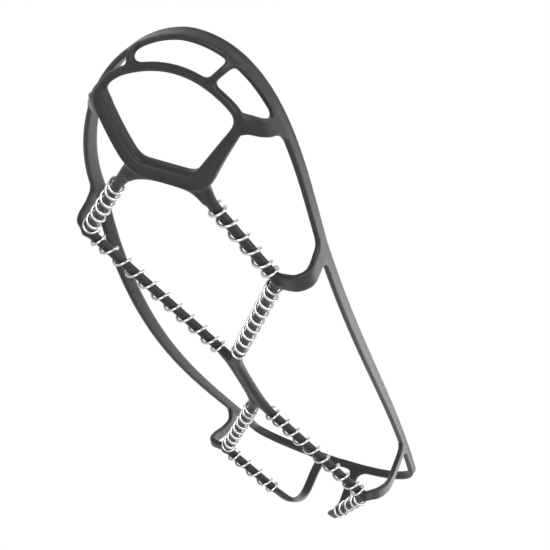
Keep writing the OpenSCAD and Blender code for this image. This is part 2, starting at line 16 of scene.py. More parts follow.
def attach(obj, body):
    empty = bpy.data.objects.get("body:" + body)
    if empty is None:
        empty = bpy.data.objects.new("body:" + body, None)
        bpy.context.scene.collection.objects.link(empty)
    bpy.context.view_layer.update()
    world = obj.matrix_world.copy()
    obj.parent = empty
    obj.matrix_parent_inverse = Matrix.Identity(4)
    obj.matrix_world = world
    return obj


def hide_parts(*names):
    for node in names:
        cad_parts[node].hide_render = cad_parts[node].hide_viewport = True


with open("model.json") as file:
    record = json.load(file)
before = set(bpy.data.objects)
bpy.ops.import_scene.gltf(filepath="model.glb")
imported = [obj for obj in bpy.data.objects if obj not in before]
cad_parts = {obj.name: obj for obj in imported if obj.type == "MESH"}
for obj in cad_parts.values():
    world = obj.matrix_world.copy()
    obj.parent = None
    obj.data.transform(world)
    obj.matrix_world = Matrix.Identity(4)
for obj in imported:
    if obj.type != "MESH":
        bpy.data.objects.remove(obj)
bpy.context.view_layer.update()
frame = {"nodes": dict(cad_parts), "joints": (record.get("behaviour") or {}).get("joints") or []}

MM = 0.001

# %% [markdown]
# ## The camera
# The picture looks up at the ground side of the cleat, from ahead of the toe and a little to one
# side, and it is rolled. A camera could be turned to a target and then rolled by hand. Here the eye's
# place, the way it looks and the roll are given, because they say the whole view in three values. A
# long lens keeps the heel nearly as large as the toe.

# %% Camera
EYE = Vector((241.94, -400.19, -209.94)) * MM
LOOK = Vector((-0.45448, 0.74888, 0.48232))
ROLL = math.radians(30.85)
LENS = 76.63
NEAREST_SEEN = 0.01

turn = LOOK.to_track_quat("-Z", "Y").to_matrix() @ Matrix.Rotation(ROLL, 3, "Z")
bpy.ops.object.camera_add(location=EYE, rotation=turn.to_euler())
camera = bpy.context.object
camera.data.lens = LENS
camera.data.clip_start = NEAREST_SEEN
bpy.context.scene.camera = camera
print("camera at", tuple(round(v, 3) for v in EYE), "with a lens of", LENS, "mm")

# %% [markdown]
# ## Bars and sheets
# Every limb of the sling is a bar or a sheet that bends and changes its section as it goes. Extruding
# a face again and again would do, but a grid gives all the rings or rows in one step. Rolled up, with
# its long edges merged and its ends filled, it is a bar. Left open and thickened, it is a sheet.

# %% Small sums
UP = np.array([0.0, 0.0, 1.0])
LEFT, RIGHT = -1, 1
SIDES = {LEFT: "left", RIGHT: "right"}


def unit(v):
    return np.asarray(v, float) / np.linalg.norm(v)


def mix(a, b, t):
    return a + (b - a) * t


def limit(t):
    return min(1.0, max(0.0, t))


def smooth(t):
    t = limit(t)
    return t * t * (3 - 2 * t)


def toward(a, b, distance):
    return a + unit(b - a) * distance


print("sides:", SIDES, "and up:", UP)

# %% Bars and sheets from a grid
MERGE_WITHIN = 1e-6


def finish_with(piece, kind, **settings):
    """Adds a modifier to a piece, sets it and applies it."""
    bpy.context.view_layer.objects.active = piece
    bpy.ops.object.modifier_add(type=kind)
    modifier = piece.modifiers[-1]
    for key, value in settings.items():
        setattr(modifier, key, value)
    bpy.ops.object.modifier_apply(modifier=modifier.name)


def grid_of(name, rows):
    """A grid whose rows run through the given points, in mm."""
    bpy.ops.object.select_all(action="DESELECT")
    bpy.ops.mesh.primitive_grid_add(x_subdivisions=len(rows[0]) - 1, y_subdivisions=len(rows) - 1)
    piece = bpy.context.object
    piece.name = name
    piece.data.vertices.foreach_set("co", np.concatenate(rows).ravel() * MM)
    return piece


def bar_of(name, rings, closed=False):
    """Rolls a grid into a bar through the rings, and closes its ends or joins them to each other."""
    rings = [np.vstack([ring, ring[:1]]) for ring in rings]
    if closed:
        rings.append(rings[0])
    bar = grid_of(name, rings)
    bpy.ops.object.mode_set(mode="EDIT")
    bpy.ops.mesh.select_all(action="SELECT")
    bpy.ops.mesh.remove_doubles(threshold=MERGE_WITHIN)
    bpy.ops.mesh.fill_holes(sides=0)
    bpy.ops.mesh.normals_make_consistent(inside=False)
    bpy.ops.object.mode_set(mode="OBJECT")
    return bar


def sheet_of(name, rows, thickness):
    """Bends a grid into a sheet through the rows and thickens it to both sides."""
    sheet = grid_of(name, rows)
    finish_with(sheet, "SOLIDIFY", thickness=thickness * MM, offset=0)
    return sheet


print("bars and sheets are merged within", MERGE_WITHIN / MM, "mm")

# %% Sections and smooth lines
SECTION_POINTS = 20
ROUND_SECTION = 2.0


def section(centre, across, up, width, height, squareness=ROUND_SECTION, count=SECTION_POINTS):
    """One ring of a bar: round at a squareness of 2, nearly a rectangle from 5 up."""
    angle = np.linspace(0, 2 * math.pi, count, endpoint=False)
    c, s = np.cos(angle), np.sin(angle)
    x = width / 2 * np.sign(c) * np.abs(c) ** (2 / squareness)
    y = height / 2 * np.sign(s) * np.abs(s) ** (2 / squareness)
    return centre + np.outer(x, across) + np.outer(y, up)


def flow(points, steps):
    """A smooth line through a few listed points, with the given steps between two of them."""
    p = np.array(points, float)
    p = np.vstack([2 * p[0] - p[1], p, 2 * p[-1] - p[-2]])
    line = []
    for a, b, c, d in zip(p, p[1:], p[2:], p[3:]):
        for t in np.linspace(0, 1, steps, endpoint=False):
            bend = (2 * a - 5 * b + 4 * c - d) * t**2 + (3 * b - a - 3 * c + d) * t**3
            line.append((2 * b + (c - a) * t + bend) / 2)
    return np.array([*line, p[-2]])


def bar_along(name, path, sizes, squareness=ROUND_SECTION):
    """A bar along a path near the ground plane, with its width and height at each point."""
    rings = []
    for i, (p, (width, height)) in enumerate(zip(path, sizes)):
        along = unit(path[min(i + 1, len(path) - 1)] - path[max(i - 1, 0)])
        across = unit(np.cross(along, UP))
        rings.append(section(p, across, np.cross(across, along), width, height, squareness))
    return bar_of(name, rings)


print("sections of", SECTION_POINTS, "points")

# %% [markdown]
# ## Corners of the net
# The cords form two diamonds, one under the ball of the foot and one under the heel, joined by a
# bridge at the arch. Each coil spins about its cord, so the joints of the frame give the cords'
# lines, and a corner lies where two of the lines cross. The corners could be typed in again, but
# taken from the joints they can't drift away from the solids.

# %% Corners from the joints
CORNER_D = 5.6
joints = {j["name"].removeprefix("spin_"): j for j in frame["joints"]}
middle = {name: np.array(j["pos_m"]) / MM for name, j in joints.items()}
axis = {name: np.array(j["axis"]) for name, j in joints.items()}
NET_Z = middle["heel_rear_left"][2]


def crossing(a, b):
    """Where the lines of two cords cross, seen from above."""
    slopes = np.array([axis[a][:2], -axis[b][:2]]).T
    reach = np.linalg.solve(slopes, (middle[b] - middle[a])[:2])
    return middle[a] + axis[a] * reach[0]


def beyond(corner, coil):
    """The far end of a coil's cord, as far from the coil's middle as the corner's own coil end."""
    return 2 * middle[coil] - toward(corner, middle[coil], CORNER_D / 2)


ball = {s: crossing("forefoot_front_" + n, "forefoot_rear_" + n) for s, n in SIDES.items()}
heel = {s: crossing("heel_front_" + n, "heel_rear_" + n) for s, n in SIDES.items()}
bridge_front = crossing("forefoot_rear_left", "forefoot_rear_right")
bridge_rear = crossing("heel_front_left", "heel_front_right")
leg_end = {s: beyond(ball[s], "forefoot_front_" + n) for s, n in SIDES.items()}
heel_edge = {s: beyond(heel[s], "heel_rear_" + n) for s, n in SIDES.items()}
for name, places in {"ball": ball, "heel": heel, "leg end": leg_end, "heel edge": heel_edge}.items():
    print(name, *[np.round(place, 2) for place in places.values()])
print("bridge", np.round(bridge_front, 2), "to", np.round(bridge_rear, 2))

# %% [markdown]
# ## The rim
# The rim is a flat rubber band that runs right round the cleat, above the net. It is tall and thin at
# the toe, where it leans in, and lower and thicker along the waist and the heel. A bevelled curve
# gives a band of one size only, so this one is a bar whose sections change as they go. Its line is a
# half oval at the toe, two long sides and a half oval at the heel.

# %% Sizes of the rim
TOE_REACH, HEEL_OVERHANG = 60.0, 30.0
BALL_WIDTH, HEEL_WIDTH = 105.5, 93.0
TOE_ROUND, HEEL_ROUND = 90.0, 20.0
TOE_RISE, BALL_RISE, HEEL_RISE = 27.5, 21.0, 43.0
WAIST_DROP, WAIST_OUT = 17.0, 4.0
TOE_DRAW = 2.8
TOE_LEAN = 19.0
TOE_T, HEEL_T = 2.4, 2.8
Y_LEG = leg_end[LEFT][1]
Y_BALL = ball[LEFT][1]
Y_TOE = Y_LEG - TOE_REACH
Y_BACK = heel_edge[LEFT][1] + HEEL_OVERHANG
Y_RIM_BALL = Y_TOE + TOE_T / 2 + TOE_ROUND
Y_RIM_HEEL = Y_BACK - HEEL_T / 2 - HEEL_ROUND
print("rim from", round(Y_TOE, 1), "to", round(Y_BACK, 1), "mm along the foot")

# %% Line of the rim
LAP = 6.0


def lean(y):
    """Sideways place of the foot's middle line, which bends ahead of the ball."""
    return TOE_LEAN * ((Y_BALL - y) / (Y_BALL - Y_TOE)) ** 2 if y < Y_BALL else 0.0


def rim_middle(v):
    """Middle of the band: v is 0 at the toe, 1 at the ball, 2 at the heel, 3 at the back, then on."""
    v %= LAP
    side, u = (RIGHT, v) if v < LAP / 2 else (LEFT, LAP - v)
    if u < 1:
        a = math.pi / 2 * u
        draw = TOE_DRAW * math.sin(math.pi * u) if side == LEFT else 0.0
        out = np.array([BALL_WIDTH / 2 * math.sin(a), -TOE_ROUND * math.cos(a)])
        x, y = out - unit(out) * draw + (0, Y_RIM_BALL)
    elif u < 2:
        x, y = mix(BALL_WIDTH, HEEL_WIDTH, smooth(u - 1)) / 2, mix(Y_RIM_BALL, Y_RIM_HEEL, u - 1)
    else:
        a = math.pi / 2 * (u - 2)
        x, y = HEEL_WIDTH / 2 * math.cos(a), Y_RIM_HEEL + HEEL_ROUND * math.sin(a)
    if y < Y_RIM_BALL:
        rise = mix(BALL_RISE, TOE_RISE, smooth((Y_RIM_BALL - y) / TOE_ROUND))
    else:
        rise = mix(BALL_RISE, HEEL_RISE, smooth((y - Y_RIM_BALL) / (Y_RIM_HEEL - Y_RIM_BALL)))
    waist = limit((y - Y_RIM_BALL) / (Y_BACK - Y_RIM_BALL))
    share = math.sin(math.pi * waist) if side == LEFT else 0.0
    return np.array([side * (x + WAIST_OUT * share) + lean(y), y, rise - WAIST_DROP * share])


print("rim: front", np.round(rim_middle(0), 1), "back", np.round(rim_middle(LAP / 2), 1))

# %% Turn of the band
RIM_STEP = 0.01
TOE_H, HEEL_H = 6.6, 4.4
TOE_TILT = math.radians(15)


def rim_change(v):
    """How the band's middle moves with v."""
    return (rim_middle(v + RIM_STEP) - rim_middle(v - RIM_STEP)) / (2 * RIM_STEP)


def rim_frame(v):
    """Middle, outward and upward directions, height and thickness of the band."""
    u = min(v % LAP, LAP - v % LAP)
    along = rim_change(v)
    out = unit([along[1], -along[0], 0.0])
    share = smooth(u - 1)
    tilt = mix(TOE_TILT, 0.0, share)
    outward = out * math.cos(tilt) + UP * math.sin(tilt)
    upward = UP * math.cos(tilt) - out * math.sin(tilt)
    return rim_middle(v), outward, upward, mix(TOE_H, HEEL_H, share), mix(TOE_T, HEEL_T, share)


print("band leans in by", round(math.degrees(TOE_TILT)), "degrees at the toe")

# %% Band of the rim
RIM_RINGS, RIM_POINTS = 320, 28
RIM_SQUARENESS = 6.0
limbs = []
rim_frames = [rim_frame(v) for v in np.linspace(0, LAP, RIM_RINGS, endpoint=False)]
rings = []
for p, outward, upward, height, thick in rim_frames:
    rings.append(section(p, outward, upward, thick, height, RIM_SQUARENESS, RIM_POINTS))
limbs.append(bar_of("rim", rings, closed=True))
print("rim:", len(limbs[-1].data.polygons), "faces, band", TOE_H, "to", HEEL_H, "mm tall")

# %% [markdown]
# ## The rim's lip
# A thin round lip runs along the outer upper edge of the band. It could be inset and extruded from the
# band. A second, thinner bar half sunk in the edge is simpler, because all limbs are melted together
# later.

# %% Lip of the rim
RIM_LIP_D, RIM_LIP_SINK = 1.3, 0.25
RIM_LIP_POINTS = 12
rings = []
for p, outward, upward, height, thick in rim_frames:
    ridge = p + outward * (thick / 2 - RIM_LIP_SINK) + upward * (height - RIM_LIP_D) / 2
    rings.append(section(ridge, outward, upward, RIM_LIP_D, RIM_LIP_D, count=RIM_LIP_POINTS))
limbs.append(bar_of("rim_lip", rings, closed=True))
print("lip of the rim:", RIM_LIP_D, "mm thick")

# %% [markdown]
# ## The toe ring
# A five-sided loop lies under the toe and rises with it. Its front is a thin round bar that bows
# forwards, and its rear a broad flat one. A circle could be pulled into this shape point by point. A
# plan with a bow and four rounded corners is easier to change, and it is then laid on the risen toe.

# %% Sizes of the toe ring
RING_LEG, RING_SIDE, RING_BOW = 11.25, 27.5, 10.25
RING_REAR_SPREAD, RING_CORNER_SPREAD = 28.5, 63.5
RING_REAR_SHIFT, LEFT_CORNER_BACK = 3.0, 0.7
Y_RING_REAR = Y_LEG - RING_LEG
Y_RING_CORNER = Y_RING_REAR - RING_SIDE
Y_RING_FRONT = Y_RING_CORNER - RING_BOW
REAR_X = {side: RING_REAR_SHIFT + side * RING_REAR_SPREAD / 2 for side in SIDES}
RIGHT_CORNER = (RING_CORNER_SPREAD / 2, Y_RING_CORNER)
LEFT_CORNER = (-RING_CORNER_SPREAD / 2, Y_RING_CORNER + LEFT_CORNER_BACK)
print("toe ring from", round(Y_RING_FRONT, 1), "to", round(Y_RING_REAR, 1), "mm along the foot")

# %% Plan of the toe ring
# How far the bow runs to each side, as a share of the way to the corner.
LEFT_REACH, RIGHT_REACH = 0.7, 0.8
RING_ROUND, LEFT_ROUND = 6.0, 9.0
FRONT_STEPS, ARC_STEPS, SIDE_STEPS = 49, 12, 12


def front_bar(share):
    return np.array([share * RING_CORNER_SPREAD / 2, Y_RING_CORNER - RING_BOW * (1 - share**2)])


def ring_outline():
    """The loop in plan: a bowed front bar, then four rounded corners with straight bars between."""
    plan = [front_bar(share) for share in np.linspace(-LEFT_REACH, RIGHT_REACH, FRONT_STEPS)]
    rear = [(REAR_X[side], Y_RING_REAR) for side in (RIGHT, LEFT)]
    stops = np.array([plan[-1], RIGHT_CORNER, *rear, LEFT_CORNER, plan[0]])
    rounds = [RING_ROUND, RING_ROUND, RING_ROUND, LEFT_ROUND, 0.0]
    for before, here, after, size, next_size in zip(stops, stops[1:], stops[2:], rounds, rounds[1:]):
        start, end = toward(here, before, size), toward(here, after, size)
        for t in np.linspace(0, 1, ARC_STEPS + 1):
            plan.append(start * (1 - t) ** 2 + here * 2 * t * (1 - t) + end * t**2)
        stop = toward(after, here, next_size)
        plan += [mix(end, stop, t) for t in np.linspace(0, 1, SIDE_STEPS + 1)[1:-1]]
    return np.array(plan)


ring_plan = ring_outline()
print("plan of the toe ring:", len(ring_plan), "points")

# %% Toe ring on the risen toe
RING_SHIFT, RING_SKEW = 0.25, 2.0
TOE_SPRING, SPRING_CURVE = 16.5, 1.7
SLOPE_STEP = 0.1


def spring(y):
    """How far the ring is lifted off the ground."""
    return TOE_SPRING * max(0.0, (Y_LEG - y) / (Y_LEG - Y_RING_FRONT)) ** SPRING_CURVE


def spring_slope(y):
    return (spring(y - SLOPE_STEP) - spring(y + SLOPE_STEP)) / (2 * SLOPE_STEP)


def on_toe(x, y):
    """Puts a point of the ring's plan on the risen, bent toe."""
    y = y + RING_SKEW * x / (RING_CORNER_SPREAD / 2)
    return np.array([x + RING_SHIFT + lean(y), y, NET_Z + spring(y)])


ring_line = np.array([on_toe(x, y) for x, y in ring_plan])
ring_along = np.roll(ring_line, -1, axis=0) - np.roll(ring_line, 1, axis=0)
ring_up = np.array([unit([0, spring_slope(y), 1]) for y in ring_plan[:, 1]])
ring_out = np.array([unit(np.cross(along, up)) for along, up in zip(ring_along, ring_up)])
ring_steps = np.linalg.norm(np.roll(ring_line, -1, axis=0) - ring_line, axis=1)
ring_length = np.concatenate([[0], np.cumsum(ring_steps)])
print("toe ring:", round(ring_length[-1]), "mm round, front", round(ring_line[:, 2].max(), 1), "mm high")

# %% Loop of the toe ring
RING_FRONT_W, RING_REAR_W = 3.4, 8.2
RING_FRONT_T, RING_REAR_T = 3.2, 4.0
# The left bar does most of its widening close to its corner, the right one towards the rear.
LEFT_WIDENING, LEFT_WIDE_SHARE = 6.0, 0.75
RIGHT_TAPER = 2.0
# A bar up to the slim width is nearly round, and it squares up while it widens by this much more.
SLIM_W, SQUARING = 3.5, 2.0
SLIM_SQUARENESS, BROAD_SQUARENESS = 2.4, 5.0


def ring_rear_share(x, y):
    """How far the bars have widened from the front bar's size to the rear one's."""
    if x < 0:
        back = y - Y_RING_CORNER
        return mix(limit(back / RING_SIDE), smooth(back / LEFT_WIDENING), LEFT_WIDE_SHARE)
    return limit((y - Y_RING_FRONT) / (Y_RING_REAR - Y_RING_FRONT)) ** RIGHT_TAPER


ring_share = np.array([ring_rear_share(x, y) for x, y in ring_plan])
ring_w = mix(RING_FRONT_W, RING_REAR_W, ring_share)
ring_t = mix(RING_FRONT_T, RING_REAR_T, ring_share)
rings = []
for p, out, up, w, t in zip(ring_line, ring_out, ring_up, ring_w, ring_t):
    squareness = mix(SLIM_SQUARENESS, BROAD_SQUARENESS, smooth((w - SLIM_W) / SQUARING))
    rings.append(section(p, out, up, w, t, squareness))
limbs.append(bar_of("toe_ring", rings, closed=True))
print("toe ring:", len(rings), "rings, bars", RING_FRONT_W, "to", RING_REAR_W, "mm wide")

# %% [markdown]
# ## The toe ring's lips
# Raised lips run along both edges of the broad bars on the ground side, and leave a shallow channel
# between them. The channel could be an inset face that is pressed in. Two thin round bars along the
# edges are chosen, because they can shrink and sink into the slim front bar where the channel ends.

# %% Lips of the toe ring
LIP_LEAST_D, LIP_FULL_D = 0.4, 2.0
LIP_STAND = 0.4
# The lips grow while the bar gets this much wider, and start at this share of the way to its edge.
LIP_GROWTH, LIP_INSET = 1.4, 0.5
for edge in (-1, 1):
    rings = []
    for p, out, up, w, t in zip(ring_line, ring_out, ring_up, ring_w, ring_t):
        grown = smooth((w - SLIM_W) / LIP_GROWTH)
        size = mix(LIP_LEAST_D, LIP_FULL_D, grown)
        sideways = edge * (w - size) / 2 * mix(LIP_INSET, 1.0, grown)
        drop = ((t - size) / 2 + LIP_STAND) * grown
        rings.append(section(p + out * sideways - up * drop, out, up, size, size))
    limbs.append(bar_of("toe_ring_lip", rings, closed=True))
print("lips of the toe ring:", LIP_FULL_D, "mm thick, standing out by", LIP_STAND, "mm")

# %% [markdown]
# ## Webs and struts of the toe
# Two broad webs tie the ring's wide corners to the rim and two narrow struts tie its front bar. Each
# widens at both ends in a round fillet, as rubber does in a mould. A bevel after joining would have to
# find these bent edges. Here the fillets are drawn into each sheet: its last rows follow the curve of
# the band, and its first rows follow the bar that it grows out of.

# %% Fillets and places on the rim


def fillet(distance, radius):
    """How far an edge has drawn out at a distance from what it runs into."""
    away = min(max(distance, 0.0), radius)
    return radius - math.sqrt(radius**2 - (radius - away) ** 2)


def rim_place(u, side):
    return u if side == RIGHT else LAP - u


def rim_run(u, side):
    """How the band moves with u at a place, which points to the heel on both sides."""
    return rim_change(rim_place(u, side)) * side


def rim_root(u, side):
    """Where a limb meets the band: its middle, lower edge, run and upward direction, and its height."""
    top, _, upward, height, _ = rim_frame(rim_place(u, side))
    return top, top - upward * height / 2, unit(rim_run(u, side)), upward, height


print("band's lower edge at the ball:", *[np.round(rim_root(1.0, side)[1], 1) for side in SIDES])

# %% A sheet with fillets
WEB_T = 2.4
WEB_COLUMNS, WEB_STEPS = 15, 8
# The rows this close to an end bend with what the sheet runs into.
HUG = 7.0


def web(name, stations, waist, root, tip, inset, u, side, root_bend=None):
    """A sheet through stations, each a middle point and the way across it, from a root to the rim.

    Root and tip are the fillets of its front and rear edges, and inset is how deep each end is buried.
    The last rows bend with the rim, and the first ones with what root_bend gives.
    """
    v = rim_place(u, side)
    speed = np.linalg.norm(rim_run(u, side))
    middles = flow([p for p, _ in stations], WEB_STEPS)
    spans = flow([d for _, d in stations], WEB_STEPS)
    lengths = np.concatenate([[0], np.cumsum(np.linalg.norm(np.diff(middles, axis=0), axis=1))])
    rows = []
    for p, span, length in zip(middles, spans, lengths):
        gone, left = length - inset[0], lengths[-1] - length - inset[1]
        reach = [waist / 2 + fillet(gone, r) + fillet(left, t) for r, t in zip(root, tip)]
        offsets = np.linspace(-reach[0], reach[1], WEB_COLUMNS)
        row = np.outer(offsets, unit(span))
        rim_row = np.array([rim_middle(v + side * o / speed) - rim_middle(v) for o in offsets])
        row = mix(row, rim_row, smooth(1 - left / HUG))
        if root_bend:
            row = mix(row, root_bend(offsets), smooth(1 - gone / HUG))
        rows.append(p + row)
    limbs.append(sheet_of(name, rows, WEB_T))
    print(name, SIDES[side], round(lengths[-1] - sum(inset), 1), "mm long")


print("sheets", WEB_T, "mm thick,", WEB_COLUMNS, "points across")

# %% Places on the ring


def ring_index(x, y):
    """The place in the loop that is nearest to a point of the plan."""
    return int(np.argmin(np.hypot(ring_plan[:, 0] - x, ring_plan[:, 1] - y)))


def ring_bend(i, offsets):
    """Steps along the loop from one of its places."""
    places = ring_length[i] + offsets
    axes = [np.interp(places, ring_length[:-1], row, period=ring_length[-1]) for row in ring_line.T]
    return np.column_stack(axes) - ring_line[i]


print("right corner of the ring is place", ring_index(*RIGHT_CORNER), "of", len(ring_line))

# %% Webs and struts from the ring to the rim
WEB_W, STRUT_W = 7.4, 2.8
WEB_TIP = (3.0, 4.0)
STRUT_ROOT = (2.5, 1.5)
WEB_DEPTH = 1.0
LEFT_WEB_START = (-27.0, Y_RING_CORNER + 7.0)


def toe_web(name, start, waist, root, tip, u, side, sag=0.12):
    """A web from a place of the ring to the rim, which sags by a share of its length."""
    i = ring_index(*start)
    out = ring_out[i]
    across = unit(ring_along[i]) * side
    top, foot, run, upward, height = rim_root(u, side)
    edge = ring_line[i] + out * ring_w[i] / 2
    belly = mix(edge, foot, 0.5) + (out - upward) * np.linalg.norm(foot - edge) * sag
    stations = [
        (edge - out * WEB_DEPTH, across),
        (edge + out * WEB_DEPTH, across),
        (belly, unit(across + run)),
        (foot, run),
        (top, run),
    ]
    inset = (WEB_DEPTH, height / 2)
    web(name, stations, waist, root, tip, inset, u, side, lambda offsets: ring_bend(i, side * offsets))


toe_web("toe_web", RIGHT_CORNER, WEB_W, root=(1.2, 3.5), tip=WEB_TIP, u=0.545, side=RIGHT)
toe_web("toe_web", LEFT_WEB_START, WEB_W, root=(2.5, 2.0), tip=WEB_TIP, u=0.56, side=LEFT, sag=0.03)
toe_web("toe_strut", front_bar(0.48), STRUT_W, STRUT_ROOT, tip=(2.0, 2.5), u=0.255, side=RIGHT)
toe_web("toe_strut", front_bar(-0.53), STRUT_W, STRUT_ROOT, tip=(2.5, 2.0), u=0.235, side=LEFT)

# %% [markdown]
# ## Legs and arch
# Two legs grow out of the ring's rear corners and taper to the cords, and a flat arch spans between
# them behind the rear bar. They could be extruded from the ring. As bars of their own they can bend
# and taper freely, and their roots are hidden inside the ring.

# %% Legs
CORD_D = 4.2
LEG_D = 7.0
LEG_STEPS = 8
LEG_SQUARENESS = 2.6
LEG_BEND, LEG_TAPER, LEG_OVERLAP = 0.6, 2.2, 2.0
for side in SIDES:
    root = ring_line[ring_index(REAR_X[side], Y_RING_REAR)]
    end = leg_end[side]
    cordward = unit(ball[side] - end)
    bend = mix(root, end, LEG_BEND) - cordward
    path = flow([root, bend, end, end + cordward * LEG_OVERLAP], LEG_STEPS)
    taper = [smooth(i / (LEG_TAPER * LEG_STEPS)) for i in range(len(path))]
    sizes = [(mix(LEG_D, CORD_D, t), mix(RING_REAR_T, CORD_D, t)) for t in taper]
    limbs.append(bar_along("leg", path, sizes, LEG_SQUARENESS))
print("legs", LEG_D, "mm wide at the ring and", CORD_D, "mm at the cords")

# %% Arch
ARCH = [
    (-15.8, 7.2),
    (-12.5, 5.2),
    (-9.0, 3.9),
    (-5.0, 3.0),
    (0.0, 2.4),
    (6.0, 2.4),
    (12.5, 3.4),
    (16.2, 5.4),
    (19.2, 8.8),
]
ARCH_W, ARCH_T, ARCH_DROP = 3.4, 3.6, 0.35
ARCH_SQUARENESS = 3.0
path = flow([on_toe(x, Y_RING_REAR + back) - UP * ARCH_DROP for x, back in ARCH], LEG_STEPS)
limbs.append(bar_along("arch", path, [(ARCH_W, ARCH_T)] * len(path), ARCH_SQUARENESS))
print("arch", ARCH_W, "mm wide and", ARCH_T, "mm thick")

# %% [markdown]
# ## Cords and corners
# The cords are plain round rubber, hidden for the most part by the coils, with a round knob where two
# cords meet an arm. A cylinder could be turned into place for each cord. A bar along two points needs
# no turning, and a small ball makes the knob.

# %% Cords and corners
CORD_RINGS = 12
KNOB_SEGMENTS, KNOB_RINGS = 24, 12


def cord(name, start, end):
    path = [mix(start, end, t) for t in np.linspace(0, 1, CORD_RINGS)]
    limbs.append(bar_along(name, path, [(CORD_D, CORD_D)] * CORD_RINGS))


def knob(name, centre):
    """A round corner where cords and an arm meet."""
    bpy.ops.object.select_all(action="DESELECT")
    bpy.ops.mesh.primitive_uv_sphere_add(
        segments=KNOB_SEGMENTS, ring_count=KNOB_RINGS, radius=CORNER_D / 2 * MM, location=centre * MM
    )
    bpy.ops.object.transform_apply(location=True)
    bpy.context.object.name = name
    limbs.append(bpy.context.object)


for side in SIDES:
    cord("forefoot_cord", leg_end[side], ball[side])
    cord("forefoot_cord", ball[side], bridge_front)
    cord("heel_cord", bridge_rear, heel[side])
    cord("heel_cord", heel[side], heel_edge[side])
    knob("ball_corner", ball[side])
    knob("heel_corner", heel[side])
print("cords", CORD_D, "mm, corners", CORNER_D, "mm")

# %% [markdown]
# ## The bridge
# At the arch two strands run side by side and are fused into a bridge with a groove along its middle,
# which splits into a V at each end. One bar with a groove pressed in would still need forked ends. So
# each strand is a bar of its own, from a forefoot cord to a heel cord.

# %% Bridge
BRIDGE_W, BRIDGE_T = 7.0, 4.2
STRAND_W, STRAND_SQUARENESS = 3.8, 3.0
STRAND_STEPS = 10
# The strands run on along the cords as stubs, and start to part this far inside the bridge's ends.
STUB = 8.0
FORK = np.array([0.0, 4.0, 0.0])
for side in SIDES:
    offset = np.array([side * (BRIDGE_W - STRAND_W) / 2, 0, 0])
    front = toward(bridge_front, ball[side], STUB)
    rear = toward(bridge_rear, heel[side], STUB)
    path = flow([front, bridge_front + offset + FORK, bridge_rear + offset - FORK, rear], STRAND_STEPS)
    limbs.append(bar_along("bridge_strand", path, [(STRAND_W, BRIDGE_T)] * len(path), STRAND_SQUARENESS))
print("bridge", BRIDGE_W, "mm wide")

# %% [markdown]
# ## Arms
# Two arms on each side carry the net up to the rim: they leave a corner sideways, bend upwards and
# flare into the band. They could be extruded from the corners step by step. The sheet with fillets
# does it in one step, through a few stations that are listed along each bend.

# %% Forefoot arms
BACK = np.array([0.0, 1.0, 0.0])
ARM_ROOT = (0.2, 0.2)
FORE_ARM_U, FORE_ARM_W, FORE_ARM_TIP = 1.02, 8.6, (7.0, 2.5)
FORE_ARM_OUT, FORE_ARM_EASE = 0.2, 0.3
FORE_ARM_BENDS = [(0.8, 0.5), (1.6, 4.0), (2.0, 6.0)]


def forefoot_arm(side):
    """An arm whose bends are each given by how far ahead of the corner and how far up they lie."""
    corner = ball[side]
    top, foot, run, _, height = rim_root(FORE_ARM_U, side)
    wall = foot[0] + side * FORE_ARM_OUT
    ease = np.array([(wall - corner[0]) * FORE_ARM_EASE, 0, 0])
    low, bend, rise = [np.array([wall, corner[1] - ahead, NET_Z + up]) for ahead, up in FORE_ARM_BENDS]
    stations = [
        (corner, BACK),
        (corner + ease, BACK),
        (low - ease, BACK),
        (bend, BACK),
        (mix(rise, foot, 0.5), BACK),
        (foot, run),
        (top, run),
    ]
    web("forefoot_arm", stations, FORE_ARM_W, ARM_ROOT, FORE_ARM_TIP, (0.0, height / 2), FORE_ARM_U, side)


for side in SIDES:
    forefoot_arm(side)

# %% Heel arms
HEEL_ARM_U, HEEL_ARM_W, HEEL_ARM_TIP = 1.88, 5.8, (5.0, 1.5)
HEEL_CORNER_OUT, HEEL_RIM_OUT = 6.0, 2.0
HEEL_ARM_LEAD = (2.2, -0.8, 0.1)
HEEL_ARM_BENDS = [
    ((-2.8, -0.8, 0.7), (0, 1.0, -0.15)),
    ((-0.4, 2.6, 5.0), (0, 0.85, -0.5)),
    ((0.2, 8.0, 12.0), (0, 0.85, -0.5)),
]
HEEL_ARM_AHEAD, HEEL_ARM_UP, HEEL_ARM_ACROSS = 0.5, 20.0, (0, 1.0, -0.2)


def heel_arm(side):
    """An arm whose bends are each given by a step from its wall, the corner and the net."""
    corner = heel[side]
    top, foot, run, _, height = rim_root(HEEL_ARM_U, side)
    wall = mix(corner[0] + side * HEEL_CORNER_OUT, foot[0] + side * HEEL_RIM_OUT, 0.5)
    stations = [(corner, BACK), (corner + np.multiply(HEEL_ARM_LEAD, (side, 1, 1)), BACK)]
    for (out, back, up), across in HEEL_ARM_BENDS:
        stations.append((np.array([wall + side * out, corner[1] + back, NET_Z + up]), unit(across)))
    high = np.array([mix(wall, foot[0], 0.5), foot[1] - HEEL_ARM_AHEAD, NET_Z + HEEL_ARM_UP])
    stations += [(high, unit(HEEL_ARM_ACROSS)), (foot, run), (top, run)]
    web("heel_arm", stations, HEEL_ARM_W, ARM_ROOT, HEEL_ARM_TIP, (0.0, height / 2), HEEL_ARM_U, side)


for side in SIDES:
    heel_arm(side)

# %% [markdown]
# ## Heel risers
# Two risers carry the rear cords on round the back of the heel and up to the rim. They are narrow
# sheets too, a little wider than the cord, so that the cord's end can run into them. A bevelled curve
# could follow the same line, but its end couldn't flare into the band.

